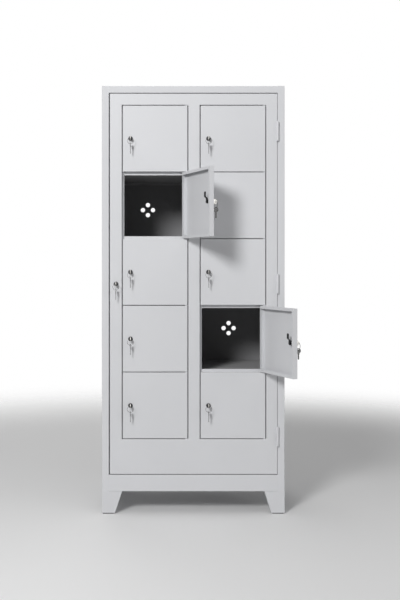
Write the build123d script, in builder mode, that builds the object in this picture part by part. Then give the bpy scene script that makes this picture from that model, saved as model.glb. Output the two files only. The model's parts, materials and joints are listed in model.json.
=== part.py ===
from build123d import *
import math
import os

# All sizes are in millimetres. +Z is up, the doors face -Y and +X is to the right.
# The origin is the middle of the cabinet's plan, on the floor.

# Sheet metal
SHEET = 1.2
BEND_RADIUS = 1.6
EDGE_RADIUS = 1.5
GAP = 3.4

# Small doors
ROWS = 5
DOOR_WIDTH = 280.0
DOOR_HEIGHT = 285.1
DOOR_SIDE_GAP = 4.0
DOOR_DEPTH = 20.0
DOOR_LIP = 12.0
DOOR_HINGE_LIP = 5.0
REST_OPENING = 111.0
OPEN_AT_REST = (("left", 2), ("right", 4))

# Pivots of the small doors
PIVOT_INSET = 6.0
PIVOT_DEPTH = 4.0
PIN_RADIUS = 2.0
PIN_CLEARANCE = 0.05
PIN_REACH = 7.0
TAB_LENGTH = 15.0
TAB_THICKNESS = 2.0
TAB_SETBACK = 0.8

# Master door
MASTER_LEFT_STILE = 51.6
MASTER_CENTRE_STILE = 49.0
MASTER_RIGHT_STILE = 47.4
MASTER_TOP_RAIL = 48.4
MASTER_BOTTOM_PANEL = 150.9
MASTER_LOCK_GAP = 4.4
MASTER_HINGE_GAP = 1.6
MASTER_LIP = 10.0
STOP_CLEARANCE = 2.0
STOP_SIDE = 10.0
STOP_BELOW_GAP = 12.0
STOP_ABOVE_GAP = 11.0
RAIL_FLANGE = 4.0

# Cabinet body
BODY_DEPTH = 500.0
FRAME_STILE = 30.0
FRAME_TOP_RAIL = 30.0
FRAME_BOTTOM_RAIL = 71.0
FRAME_STOP = 12.0
FRAME_STOP_CLEARANCE = 0.5
REAR_LIP = 14.0
SHELF_SETBACK = 0.8
SHELF_RISE = 1.0
SHELF_LIP = 13.0
VENT_RADIUS = 10.5
VENT_SPREAD = 24.5
VENT_RISE = 11.5

# Feet
FOOT_HEIGHT = 97.0
FOOT_TOP_WIDTH = 87.0
FOOT_BOTTOM_WIDTH = 56.5
FOOT_WALL = 2.0
GLIDE_HEIGHT = 4.0
GLIDE_INSET = 3.0
GLIDE_CORNER = 6.0

# Hinges of the master door
HINGE_RADIUS = 5.5
HINGE_HEIGHT = 85.0
HINGE_INSET = 163.0
HINGE_STANDOFF = 0.3
HINGE_GAP = 0.4
HINGE_PIN_RADIUS = 3.0
HINGE_PIN_REACH = 30.0
HINGE_LEG = 3.0

# Cylinder locks
LOCK_INSET = 33.5
MASTER_LOCK_INSET = 26.6
LOCK_HEAD_RADIUS = 10.0
LOCK_HEAD_HEIGHT = 4.0
LOCK_BODY_RADIUS = 8.0
LOCK_BODY_LENGTH = 16.0
LOCK_HOLE_CLEARANCE = 0.1
NUT_ACROSS_FLATS = 22.0
NUT_THICKNESS = 4.0
PLUG_RADIUS = 5.5
PLUG_CLEARANCE = 0.05
PLUG_PROUD = 0.2
PLUG_SQUARE = 6.0
CAM_THICKNESS = 2.0
CAM_WIDTH = 14.0
CAM_CLEARANCE = 0.8
CAM_REACH = 40.0
CAM_CRANK = (12.0, 20.0)
MASTER_CAM_REACH = 31.0
MASTER_CAM_CRANK = (7.0, 13.0)
SCREW_RADIUS = 4.5
SCREW_HEIGHT = 2.2

# Keys and key rings
KEY_THICKNESS = 1.8
KEY_BOW_RADIUS = 10.5
KEY_HOLE_OFFSET = 5.8
KEY_HOLE_LENGTH = 8.4
KEY_HOLE_WIDTH = 2.6
KEY_NECK = 4.0
KEY_NECK_WIDTH = 9.0
KEY_BLADE = 21.0
KEY_BLADE_WIDTH = 7.0
KEY_NOTCHES = 4
KEY_NOTCH = 2.0
KEY_CLEARANCE = 0.1
RING_RADIUS = 13.0
RING_WIRE = 0.6

# Lengths that follow from the sizes above
WINDOW_WIDTH = DOOR_WIDTH + 2 * DOOR_SIDE_GAP
WINDOW_HEIGHT = ROWS * (DOOR_HEIGHT + GAP) + GAP
ROW_PITCH = DOOR_HEIGHT + GAP
STOP_DEPTH = DOOR_DEPTH + STOP_CLEARANCE
MASTER_DEPTH = STOP_DEPTH + RAIL_FLANGE
MASTER_WIDTH = MASTER_LEFT_STILE + MASTER_CENTRE_STILE + MASTER_RIGHT_STILE + 2 * WINDOW_WIDTH
MASTER_HEIGHT = MASTER_BOTTOM_PANEL + WINDOW_HEIGHT + MASTER_TOP_RAIL
FRAME_STOP_DEPTH = MASTER_DEPTH + FRAME_STOP_CLEARANCE
SHELF_DEPTH = FRAME_STOP_DEPTH + SHEET + SHELF_SETBACK
BODY_WIDTH = MASTER_WIDTH + MASTER_LOCK_GAP + MASTER_HINGE_GAP + 2 * FRAME_STILE
FRONT_Y = -BODY_DEPTH / 2
BACK_Y = BODY_DEPTH / 2
INNER_BACK_Y = BACK_Y - 2 * SHEET
INNER_BEND = BEND_RADIUS - SHEET / 2

# Heights and places that follow from them
MASTER_MID_X = (MASTER_LOCK_GAP - MASTER_HINGE_GAP) / 2
MASTER_LEFT_X = MASTER_MID_X - MASTER_WIDTH / 2
MASTER_RIGHT_X = MASTER_MID_X + MASTER_WIDTH / 2
MASTER_BOTTOM_Z = FOOT_HEIGHT + FRAME_BOTTOM_RAIL + GAP
MASTER_TOP_Z = MASTER_BOTTOM_Z + MASTER_HEIGHT
MASTER_MID_Z = (MASTER_BOTTOM_Z + MASTER_TOP_Z) / 2
BODY_TOP_Z = MASTER_TOP_Z + GAP + FRAME_TOP_RAIL
BODY_HEIGHT = BODY_TOP_Z - FOOT_HEIGHT
WINDOW_BOTTOM_Z = MASTER_BOTTOM_Z + MASTER_BOTTOM_PANEL
WINDOW_TOP_Z = WINDOW_BOTTOM_Z + WINDOW_HEIGHT
LEFT_WINDOW_X = MASTER_LEFT_X + MASTER_LEFT_STILE + WINDOW_WIDTH / 2
RIGHT_WINDOW_X = MASTER_RIGHT_X - MASTER_RIGHT_STILE - WINDOW_WIDTH / 2
WINDOW_X = {"left": LEFT_WINDOW_X, "right": RIGHT_WINDOW_X}
PARTITION_X = (LEFT_WINDOW_X + RIGHT_WINDOW_X) / 2
HINGE_X = MASTER_RIGHT_X + MASTER_HINGE_GAP / 2
HINGE_Y = FRONT_Y - HINGE_RADIUS - HINGE_STANDOFF
# The gap lines between the rows, from the bottom of the windows to their top
GAP_LINES = [WINDOW_BOTTOM_Z + GAP / 2 + n * ROW_PITCH for n in range(ROWS + 1)]
SHELF_LINES = GAP_LINES[:ROWS]


def at_depth(depth):
    """Upright plane that faces forward, some way behind the front of the cabinet."""
    return Plane(origin=(0, FRONT_Y + depth, 0), x_dir=(1, 0, 0), z_dir=(0, -1, 0))


def door_height(row):
    """Middle height of a small door. Row 1 is the top one."""
    return GAP_LINES[ROWS - row] + ROW_PITCH / 2


def door_plane(side, row):
    """Plane of a small door: its origin is on the pivot axis, at the door's mid-height."""
    opening = REST_OPENING if (side, row) in OPEN_AT_REST else 0
    turn = math.radians(opening)
    pivot_x = WINDOW_X[side] + DOOR_WIDTH / 2 - PIVOT_INSET
    return Plane(
        origin=(pivot_x, FRONT_Y + PIVOT_DEPTH, door_height(row)),
        x_dir=(math.cos(turn), math.sin(turn), 0),
        z_dir=(0, 0, 1),
    )


def lock_plane(side, row):
    """Plane of a small door's lock: its origin is on the lock's axis, on the outer face."""
    from_pivot = -(DOOR_WIDTH - PIVOT_INSET - LOCK_INSET)
    return Plane(door_plane(side, row).location * Location((from_pivot, -PIVOT_DEPTH, 0)))


def write(part, name):
    """Label a finished piece and write it to its own file."""
    part.label = name
    export_step(part, f"parts/{name}.step")


def side_panel(hand):
    """Side sheet with its front stile, return, stop strip and rear lip, one fold after another.

    It is cut into solids that meet face to face, so that its flat middle is a plain sheet.
    """
    outer_x = hand * (BODY_WIDTH - SHEET) / 2
    return_x = hand * (BODY_WIDTH / 2 - FRAME_STILE + SHEET / 2)
    face_y = FRONT_Y + SHEET / 2
    stop_y = FRONT_Y + FRAME_STOP_DEPTH + SHEET / 2
    rear_y = BACK_Y - SHEET / 2
    with BuildPart() as panel:
        with BuildSketch(Plane.XY.offset(FOOT_HEIGHT + SHEET)):
            with BuildLine():
                FilletPolyline(
                    (hand * (BODY_WIDTH / 2 - REAR_LIP), rear_y),
                    (outer_x, rear_y),
                    (outer_x, face_y),
                    (return_x, face_y),
                    (return_x, stop_y),
                    (hand * (BODY_WIDTH / 2 - FRAME_STILE - FRAME_STOP), stop_y),
                    radius=BEND_RADIUS,
                )
            trace(line_width=SHEET)
        extrude(amount=BODY_HEIGHT - 2 * SHEET)
        strip_x = hand * (BODY_WIDTH - FRAME_STOP) / 2 - hand * FRAME_STILE
        with Locations((strip_x, stop_y, BODY_TOP_Z)):
            Box(
                FRAME_STOP,
                FRAME_STOP,
                FRAME_TOP_RAIL + FRAME_STOP,
                align=(Align.CENTER, Align.CENTER, Align.MAX),
                mode=Mode.SUBTRACT,
            )
        with Locations((strip_x, stop_y, FOOT_HEIGHT)):
            Box(
                FRAME_STOP,
                FRAME_STOP,
                FRAME_BOTTOM_RAIL + FRAME_STOP,
                align=(Align.CENTER, Align.CENTER, Align.MIN),
                mode=Mode.SUBTRACT,
            )
        for cut_y in (FRONT_Y + SHEET + INNER_BEND, BACK_Y - SHEET - INNER_BEND):
            split(bisect_by=Plane(origin=(0, cut_y, 0), z_dir=(0, 1, 0)), keep=Keep.BOTH)
    return panel.part


def end_panel(outer_z, inward, rail_height):
    """Top or base sheet: a plate over the side panels, with a front rail and a rear lip."""
    plate_z = outer_z + inward * SHEET / 2
    rail_z = outer_z + inward * (rail_height - SHEET / 2)
    face_y = FRONT_Y + SHEET / 2
    stop_y = FRONT_Y + FRAME_STOP_DEPTH + SHEET / 2
    rear_y = BACK_Y - SHEET / 2
    rail_width = BODY_WIDTH - 2 * FRAME_STILE
    with BuildPart() as panel:
        with BuildSketch(Plane.YZ.offset(-rail_width / 2)):
            with BuildLine():
                FilletPolyline(
                    (rear_y, outer_z + inward * REAR_LIP),
                    (rear_y, plate_z),
                    (face_y, plate_z),
                    (face_y, rail_z),
                    (stop_y, rail_z),
                    (stop_y, outer_z + inward * (rail_height + FRAME_STOP)),
                    radius=BEND_RADIUS,
                )
            trace(line_width=SHEET)
        extrude(amount=rail_width)
        for hand in (-1, 1):
            with Locations((hand * (BODY_WIDTH - FRAME_STILE) / 2, 0, plate_z)):
                Box(FRAME_STILE, BODY_DEPTH, SHEET)
    return panel.part


def back_panel():
    """Flat rear sheet inside the rear lips, with four vent holes behind each compartment."""
    edge = SHEET + INNER_BEND
    with BuildPart() as panel:
        with BuildSketch(Plane.XZ.offset(-INNER_BACK_Y)):
            with Locations((0, FOOT_HEIGHT + BODY_HEIGHT / 2)):
                Rectangle(BODY_WIDTH - 2 * edge, BODY_HEIGHT - 2 * edge)
            for side in WINDOW_X:
                vent_x = compartment_middle(side)
                for row in range(1, ROWS + 1):
                    with Locations((vent_x, door_height(row) + VENT_RISE)):
                        with PolarLocations(VENT_SPREAD, 4):
                            Circle(VENT_RADIUS, mode=Mode.SUBTRACT)
        extrude(amount=-SHEET)
    return panel.part


def compartment_middle(side):
    """Middle of a column of compartments, between its side panel and the partition."""
    low_x, high_x = compartment_walls(side)
    return (low_x + high_x) / 2


def compartment_walls(side):
    """Inner faces of the two upright walls of a column of compartments."""
    side_wall = BODY_WIDTH / 2 - SHEET
    if side == "left":
        return -side_wall, PARTITION_X - SHEET / 2
    return PARTITION_X + SHEET / 2, side_wall


def centre_partition():
    """Upright sheet between the two columns, from the base to the top."""
    front_y = FRONT_Y + SHELF_DEPTH
    with BuildPart() as partition:
        with Locations((PARTITION_X, (front_y + INNER_BACK_Y) / 2, FOOT_HEIGHT + BODY_HEIGHT / 2)):
            Box(SHEET, INNER_BACK_Y - front_y, BODY_HEIGHT - 2 * SHEET)
    return partition.part


def shelves(side):
    """The shelf trays of one column, with their edges turned down all round."""
    low_x, high_x = compartment_walls(side)
    width = high_x - low_x
    front_y = FRONT_Y + SHELF_DEPTH
    depth = INNER_BACK_Y - front_y
    places = [((low_x + high_x) / 2, front_y + depth / 2, z + SHELF_RISE) for z in SHELF_LINES]
    under = [(x, y, z - SHEET) for x, y, z in places]
    with BuildPart() as trays:
        with Locations(*places):
            Box(width, depth, SHELF_LIP, align=(Align.CENTER, Align.CENTER, Align.MAX))
        with Locations(*under):
            Box(
                width - 2 * SHEET,
                depth - 2 * SHEET,
                SHELF_LIP,
                align=(Align.CENTER, Align.CENTER, Align.MAX),
                mode=Mode.SUBTRACT,
            )
    return trays.part


def foot_corners():
    """The four outer corners of the body, with the signs of their X and Y."""
    return [(sx, sy) for sx in (-1, 1) for sy in (-1, 1)]


def foot_square(sx, sy, width, inset):
    """Middle and side of a square whose outer corner is the body's corner, less an inset."""
    middle_x = sx * (BODY_WIDTH - width) / 2
    middle_y = sy * (BODY_DEPTH - width) / 2
    return (middle_x, middle_y), width - 2 * inset


def feet():
    """Hollow sheet feet, upright on the outside and tapered on their two inner sides."""
    with BuildPart() as four_feet:
        for sx, sy in foot_corners():
            low_middle, low_side = foot_square(sx, sy, FOOT_BOTTOM_WIDTH, 0)
            top_middle, top_side = foot_square(sx, sy, FOOT_TOP_WIDTH, 0)
            with BuildSketch(Plane.XY.offset(GLIDE_HEIGHT)):
                with Locations(low_middle):
                    Rectangle(low_side, low_side)
            with BuildSketch(Plane.XY.offset(FOOT_HEIGHT)):
                with Locations(top_middle):
                    Rectangle(top_side, top_side)
            loft()
        for sx, sy in foot_corners():
            low_middle, low_side = foot_square(sx, sy, FOOT_BOTTOM_WIDTH, FOOT_WALL)
            top_middle, top_side = foot_square(sx, sy, FOOT_TOP_WIDTH, FOOT_WALL)
            with BuildSketch(Plane.XY.offset(GLIDE_HEIGHT + FOOT_WALL)):
                with Locations(low_middle):
                    Rectangle(low_side, low_side)
            with BuildSketch(Plane.XY.offset(FOOT_HEIGHT)):
                with Locations(top_middle):
                    Rectangle(top_side, top_side)
            loft(mode=Mode.SUBTRACT)
    return four_feet.part


def foot_glides():
    """Plastic pads that the feet stand on."""
    middles = [foot_square(sx, sy, FOOT_BOTTOM_WIDTH, 0)[0] for sx, sy in foot_corners()]
    side = FOOT_BOTTOM_WIDTH - 2 * GLIDE_INSET
    with BuildPart() as glides:
        with BuildSketch(Plane.XY):
            with Locations(*middles):
                RectangleRounded(side, side, GLIDE_CORNER)
        extrude(amount=GLIDE_HEIGHT)
    return glides.part


def master_door_frame():
    """Folded sheet door with two windows, each with its return and stop strip."""
    stop_low = GAP_LINES[0] + STOP_ABOVE_GAP
    stop_high = GAP_LINES[ROWS] - STOP_BELOW_GAP
    window_mid_z = (WINDOW_BOTTOM_Z + WINDOW_TOP_Z) / 2
    window_places = [(x, window_mid_z) for x in WINDOW_X.values()]
    stop_places = [(x, (stop_low + stop_high) / 2) for x in WINDOW_X.values()]
    master_mid = (MASTER_MID_X, MASTER_MID_Z)
    lock_place = (MASTER_LEFT_X + MASTER_LOCK_INSET, MASTER_MID_Z)
    with BuildPart() as door:
        with BuildSketch(at_depth(0)):
            with Locations(master_mid):
                Rectangle(MASTER_WIDTH, MASTER_HEIGHT)
        extrude(amount=-MASTER_DEPTH)
        with BuildSketch(at_depth(SHEET)):
            with Locations(master_mid):
                Rectangle(MASTER_WIDTH - 2 * SHEET, MASTER_HEIGHT - 2 * SHEET)
        extrude(amount=-(MASTER_DEPTH - 2 * SHEET), mode=Mode.SUBTRACT)
        with BuildSketch(at_depth(SHEET)):
            with Locations(master_mid):
                Rectangle(MASTER_WIDTH - 2 * MASTER_LIP, MASTER_HEIGHT - 2 * MASTER_LIP)
        extrude(amount=-MASTER_DEPTH, mode=Mode.SUBTRACT)
        with BuildSketch(at_depth(0)):
            with Locations(*window_places):
                Rectangle(WINDOW_WIDTH + 2 * SHEET, WINDOW_HEIGHT + 2 * SHEET)
        extrude(amount=-(STOP_DEPTH + SHEET))
        with BuildSketch(at_depth(0)):
            with Locations(*window_places):
                Rectangle(WINDOW_WIDTH, WINDOW_HEIGHT)
        extrude(amount=-STOP_DEPTH, mode=Mode.SUBTRACT)
        with BuildSketch(at_depth(STOP_DEPTH)):
            with Locations(*stop_places):
                Rectangle(WINDOW_WIDTH - 2 * STOP_SIDE, stop_high - stop_low)
        extrude(amount=-SHEET, mode=Mode.SUBTRACT)
        fillet(door.faces().sort_by(Axis.Y)[0].edges(), EDGE_RADIUS)
        with BuildSketch(at_depth(0)):
            with Locations(lock_place):
                Circle(LOCK_BODY_RADIUS + LOCK_HOLE_CLEARANCE)
        extrude(amount=-SHEET, mode=Mode.SUBTRACT)
    return door.part


def cross_rails():
    """Shallow channels behind the gaps between the rows, butted between the stop strips."""
    width = WINDOW_WIDTH - 2 * STOP_SIDE
    height = STOP_BELOW_GAP + STOP_ABOVE_GAP
    middle_shift = (STOP_ABOVE_GAP - STOP_BELOW_GAP) / 2
    places = [(x, z + middle_shift) for x in WINDOW_X.values() for z in GAP_LINES[1:ROWS]]
    with BuildPart() as rails:
        with BuildSketch(at_depth(STOP_DEPTH)):
            with Locations(*places):
                Rectangle(width, height)
        extrude(amount=-RAIL_FLANGE)
        with BuildSketch(at_depth(STOP_DEPTH + SHEET)):
            with Locations(*places):
                Rectangle(width, height - 2 * SHEET)
        extrude(amount=-RAIL_FLANGE, mode=Mode.SUBTRACT)
    return rails.part


def pivot_brackets():
    """Tabs in the gaps at the hinge side, with the pins that the small doors turn on."""
    last = len(GAP_LINES) - 1
    side_shift = (GAP - TAB_THICKNESS) / 2
    with BuildPart() as brackets:
        for side in WINDOW_X:
            edge_x = WINDOW_X[side] + WINDOW_WIDTH / 2
            pin_x = WINDOW_X[side] + DOOR_WIDTH / 2 - PIVOT_INSET
            for number, line_z in enumerate(GAP_LINES):
                tab_z = line_z
                low_reach = GAP / 2 + PIN_REACH
                high_reach = low_reach
                if number == 0:
                    tab_z = line_z - side_shift
                    low_reach = GAP / 2
                if number == last:
                    tab_z = line_z + side_shift
                    high_reach = GAP / 2
                with Locations((edge_x, FRONT_Y + STOP_DEPTH, tab_z)):
                    Box(
                        TAB_LENGTH,
                        STOP_DEPTH - TAB_SETBACK,
                        TAB_THICKNESS,
                        align=(Align.MAX, Align.MAX, Align.CENTER),
                    )
                with Locations((pin_x, FRONT_Y + PIVOT_DEPTH, line_z - low_reach)):
                    Cylinder(
                        PIN_RADIUS,
                        low_reach + high_reach,
                        align=(Align.CENTER, Align.CENTER, Align.MIN),
                    )
    return brackets.part


def small_door():
    """Door leaf as a shallow pan, drawn shut about its own pivot axis."""
    free_x = PIVOT_INSET - DOOR_WIDTH
    front_y = -PIVOT_DEPTH
    back_y = front_y + DOOR_DEPTH
    middle_x = (free_x + PIVOT_INSET) / 2
    lock_x = free_x + LOCK_INSET
    facing = (0, -1, 0)
    front = Plane(origin=(0, front_y, 0), x_dir=(1, 0, 0), z_dir=facing)
    inside = Plane(origin=(0, front_y + SHEET, 0), x_dir=(1, 0, 0), z_dir=facing)
    opening_low = free_x + DOOR_LIP
    opening_high = PIVOT_INSET - DOOR_HINGE_LIP
    with BuildPart() as leaf:
        with BuildSketch(front):
            with Locations((middle_x, 0)):
                Rectangle(DOOR_WIDTH, DOOR_HEIGHT)
        extrude(amount=-DOOR_DEPTH)
        fillet(leaf.faces().sort_by(Axis.Y)[0].edges(), EDGE_RADIUS)
        with BuildSketch(inside):
            with Locations((middle_x, 0)):
                Rectangle(DOOR_WIDTH - 2 * SHEET, DOOR_HEIGHT - 2 * SHEET)
        extrude(amount=-(DOOR_DEPTH - 2 * SHEET), mode=Mode.SUBTRACT)
        with BuildSketch(inside):
            with Locations(((opening_low + opening_high) / 2, 0)):
                Rectangle(opening_high - opening_low, DOOR_HEIGHT - 2 * DOOR_LIP)
        extrude(amount=-DOOR_DEPTH, mode=Mode.SUBTRACT)
        with BuildSketch(front):
            with Locations((lock_x, 0)):
                Circle(LOCK_BODY_RADIUS + LOCK_HOLE_CLEARANCE)
        extrude(amount=-SHEET, mode=Mode.SUBTRACT)
        Cylinder(PIN_RADIUS + PIN_CLEARANCE, DOOR_HEIGHT, mode=Mode.SUBTRACT)
    return leaf.part


def lock_case():
    """Case with its round head, and the hexagon nut that clamps it behind the sheet."""
    with BuildPart() as case:
        with BuildSketch(Plane.XZ):
            Circle(LOCK_HEAD_RADIUS)
        extrude(amount=LOCK_HEAD_HEIGHT)
        fillet(case.faces().sort_by(Axis.Y)[0].edges(), LOCK_HEAD_HEIGHT / 2)
        with BuildSketch(Plane.XZ):
            Circle(LOCK_BODY_RADIUS)
        extrude(amount=-LOCK_BODY_LENGTH)
        with BuildSketch(Plane.XZ.offset(LOCK_HEAD_HEIGHT)):
            Circle(PLUG_RADIUS + PLUG_CLEARANCE)
        extrude(amount=-(LOCK_HEAD_HEIGHT + LOCK_BODY_LENGTH), mode=Mode.SUBTRACT)
        with BuildSketch(Plane.XZ.offset(-SHEET)):
            RegularPolygon(NUT_ACROSS_FLATS / 2, 6, major_radius=False)
            Circle(LOCK_BODY_RADIUS + LOCK_HOLE_CLEARANCE, mode=Mode.SUBTRACT)
        extrude(amount=-NUT_THICKNESS)
    return case.part


def key(hole_plane):
    """Flat key in the plane's XY, its slot at the origin and its blade towards +Y."""
    neck_end = KEY_HOLE_OFFSET + KEY_BOW_RADIUS + KEY_NECK
    pitch = KEY_BLADE / (KEY_NOTCHES + 1)
    notches = [(KEY_BLADE_WIDTH / 2, neck_end + pitch * (n + 1)) for n in range(KEY_NOTCHES)]
    with BuildPart() as blank:
        with BuildSketch(hole_plane) as outline:
            with Locations((0, KEY_HOLE_OFFSET)):
                Circle(KEY_BOW_RADIUS)
                Rectangle(
                    KEY_NECK_WIDTH,
                    neck_end - KEY_HOLE_OFFSET,
                    align=(Align.CENTER, Align.MIN),
                )
            with Locations((0, neck_end)):
                Rectangle(KEY_BLADE_WIDTH, KEY_BLADE, align=(Align.CENTER, Align.MIN))
            tip = outline.vertices().group_by(Axis.Y)[-1]
            chamfer(tip, KEY_BLADE_WIDTH / 3)
            SlotOverall(KEY_HOLE_LENGTH, KEY_HOLE_WIDTH, mode=Mode.SUBTRACT)
            with Locations(*notches):
                Rectangle(KEY_NOTCH, KEY_NOTCH, rotation=45, mode=Mode.SUBTRACT)
        extrude(amount=KEY_THICKNESS / 2, both=True)
    return blank.part


# Where the key's slot and the key ring lie in front of a door's outer face
KEY_SHOULDER_Y = -(LOCK_HEAD_HEIGHT + PLUG_PROUD)
RING_Y = KEY_SHOULDER_Y - KEY_NECK - KEY_BOW_RADIUS - KEY_HOLE_OFFSET
RING_Z = -RING_RADIUS


def lock_plug(tip_depth, reach, crank):
    """Plug with its cranked cam up, the screw that holds the cam, and the key in its slot."""
    root_depth = LOCK_BODY_LENGTH + CAM_THICKNESS / 2
    square_end = LOCK_BODY_LENGTH + CAM_THICKNESS
    slot_length = KEY_BLADE + KEY_CLEARANCE
    with BuildPart() as plug:
        with BuildSketch(Plane.XZ.offset(LOCK_HEAD_HEIGHT + PLUG_PROUD)):
            Circle(PLUG_RADIUS)
        extrude(amount=-(LOCK_HEAD_HEIGHT + PLUG_PROUD + LOCK_BODY_LENGTH))
        with BuildSketch(Plane.XZ.offset(-LOCK_BODY_LENGTH)):
            Rectangle(PLUG_SQUARE, PLUG_SQUARE)
        extrude(amount=-CAM_THICKNESS)
        with BuildSketch(Plane.XZ.offset(-KEY_SHOULDER_Y)):
            Rectangle(KEY_THICKNESS + 2 * KEY_CLEARANCE, KEY_BLADE_WIDTH + 2 * KEY_CLEARANCE)
        extrude(amount=-slot_length, mode=Mode.SUBTRACT)
    with BuildPart() as cam:
        with BuildSketch(Plane.YZ.offset(-CAM_WIDTH / 2)):
            with BuildLine():
                Polyline(
                    (root_depth, -CAM_WIDTH / 2),
                    (root_depth, crank[0]),
                    (tip_depth, crank[1]),
                    (tip_depth, reach),
                )
            trace(line_width=CAM_THICKNESS)
        extrude(amount=CAM_WIDTH)
        corners = cam.edges().filter_by(Axis.Y).group_by(Axis.Z)
        fillet(corners[-1] + corners[0], CAM_WIDTH / 3)
        with BuildSketch(Plane.XZ.offset(-LOCK_BODY_LENGTH)):
            Rectangle(PLUG_SQUARE + 2 * PLUG_CLEARANCE, PLUG_SQUARE + 2 * PLUG_CLEARANCE)
        extrude(amount=-CAM_THICKNESS, mode=Mode.SUBTRACT)
    with BuildPart() as screw:
        with BuildSketch(Plane.XZ.offset(-square_end)):
            Circle(SCREW_RADIUS)
        extrude(amount=-SCREW_HEIGHT)
        fillet(screw.faces().sort_by(Axis.Y)[-1].edges(), SCREW_HEIGHT / 3)
    slot_plane = Plane(origin=(0, RING_Y, 0), x_dir=(0, 0, 1), z_dir=(-1, 0, 0))
    return [plug.part, cam.part, screw.part, key(slot_plane)]


def key_ring():
    """Wire ring through the key's slot, and the spare key that hangs at its lowest point."""
    slot_top_z = RING_Z - RING_RADIUS + RING_WIRE + KEY_CLEARANCE
    slot_z = slot_top_z - KEY_HOLE_WIDTH / 2
    with BuildPart(Plane(origin=(0, RING_Y, RING_Z), z_dir=(0, 1, 0))) as ring:
        Torus(RING_RADIUS, RING_WIRE)
    hanging = Plane(origin=(0, RING_Y, slot_z), x_dir=(0, -1, 0), z_dir=(1, 0, 0))
    return [ring.part, key(hanging)]


def placed(pieces, plane):
    """Pieces drawn about the origin, set on a plane. Those that touch stay separate solids."""
    return Compound(children=[plane.location * piece for piece in pieces])


def hinge_half(line_z, on_door):
    """One half of a lift-off hinge: a round-ended barrel with a leg welded to the sheet."""
    half_height = (HINGE_HEIGHT - HINGE_GAP) / 2
    direction = 1 if on_door else -1
    meeting_z = line_z + direction * HINGE_GAP / 2
    hand = -1 if on_door else 1
    leg_inner = MASTER_HINGE_GAP / 2
    with BuildPart() as half:
        with BuildSketch(Plane(origin=(HINGE_X, HINGE_Y, meeting_z), z_dir=(0, 0, direction))):
            Circle(HINGE_RADIUS)
        extrude(amount=half_height)
        outer_face = half.faces().sort_by(Axis.Z)[-1 if on_door else 0]
        fillet(outer_face.edges(), HINGE_RADIUS / 2)
        leg_x = HINGE_X + hand * (leg_inner + HINGE_RADIUS) / 2
        leg_z = meeting_z + direction * half_height / 2
        with Locations((leg_x, FRONT_Y, leg_z)):
            Box(
                HINGE_RADIUS - leg_inner,
                HINGE_LEG,
                half_height - 2 * HINGE_RADIUS,
                align=(Align.CENTER, Align.MAX, Align.CENTER),
            )
        if on_door:
            with Locations((HINGE_X, HINGE_Y, meeting_z)):
                Cylinder(
                    HINGE_PIN_RADIUS + PIN_CLEARANCE,
                    HINGE_PIN_REACH + HINGE_GAP,
                    align=(Align.CENTER, Align.CENTER, Align.MIN),
                    mode=Mode.SUBTRACT,
                )
        else:
            with Locations((HINGE_X, HINGE_Y, meeting_z)):
                Cylinder(
                    HINGE_PIN_RADIUS,
                    HINGE_PIN_REACH,
                    align=(Align.CENTER, Align.CENTER, Align.MIN),
                )
    return half.part


os.makedirs("parts", exist_ok=True)

# Body
write(side_panel(-1), "left_side_panel")
write(side_panel(1), "right_side_panel")
write(back_panel(), "back_panel")
write(end_panel(BODY_TOP_Z, -1, FRAME_TOP_RAIL), "top_panel")
write(end_panel(FOOT_HEIGHT, 1, FRAME_BOTTOM_RAIL), "base_panel")
write(centre_partition(), "centre_partition")
write(shelves("left"), "left_shelves")
write(shelves("right"), "right_shelves")
write(feet(), "feet")
write(foot_glides(), "foot_glides")

# Master door and its hinges
HINGE_LINES = [MASTER_BOTTOM_Z + HINGE_INSET, MASTER_MID_Z, MASTER_TOP_Z - HINGE_INSET]
HERE = Plane.XY
write(master_door_frame(), "master_door_frame")
write(cross_rails(), "cross_rails")
write(pivot_brackets(), "pivot_brackets")
write(placed([hinge_half(z, False) for z in HINGE_LINES], HERE), "frame_hinge_halves")
write(placed([hinge_half(z, True) for z in HINGE_LINES], HERE), "door_hinge_halves")

# Small doors, each with its lock and keys
DOOR_LEAF = small_door()
LOCK_CASE = lock_case()
KEY_RING = key_ring()
SMALL_TIP_DEPTH = STOP_DEPTH + SHEET + CAM_CLEARANCE + CAM_THICKNESS / 2
SMALL_PLUG = lock_plug(SMALL_TIP_DEPTH, CAM_REACH, CAM_CRANK)
for side in WINDOW_X:
    for row in range(1, ROWS + 1):
        name = f"row_{row}_{side}"
        lock = lock_plane(side, row)
        write(placed([DOOR_LEAF], door_plane(side, row)), f"{name}_door")
        write(placed([LOCK_CASE], lock), f"{name}_lock_case")
        write(placed(SMALL_PLUG, lock), f"{name}_lock_plug")
        write(placed(KEY_RING, lock), f"{name}_key_ring")

# Lock and keys of the master door
MASTER_TIP_DEPTH = FRAME_STOP_DEPTH + SHEET + CAM_CLEARANCE + CAM_THICKNESS / 2
MASTER_PLUG = lock_plug(MASTER_TIP_DEPTH, MASTER_CAM_REACH, MASTER_CAM_CRANK)
MASTER_LOCK = Plane(origin=(MASTER_LEFT_X + MASTER_LOCK_INSET, FRONT_Y, MASTER_MID_Z))
write(placed([LOCK_CASE], MASTER_LOCK), "master_lock_case")
write(placed(MASTER_PLUG, MASTER_LOCK), "master_lock_plug")
write(placed(KEY_RING, MASTER_LOCK), "master_key_ring")
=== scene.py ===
# %% [markdown]
# A steel laundry locker, dressed for its portrait.
# The real one stands in a changing room at a place of work. Ten small lockable doors
# sit in one tall master door. With that one open, clean clothes are laid into all ten
# compartments at once, and each set is then taken out by its own small door.
# Its cabinet, doors, locks and keys already exist as exact solids. This lesson loads
# them as a fixed frame, stands them on a pale floor in soft light, gives every sheet
# and fitting its finish, and adds the small things that welding, grinding and
# stamping leave behind. Doing it in that order means that nothing is measured twice.

import json
import math

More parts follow.
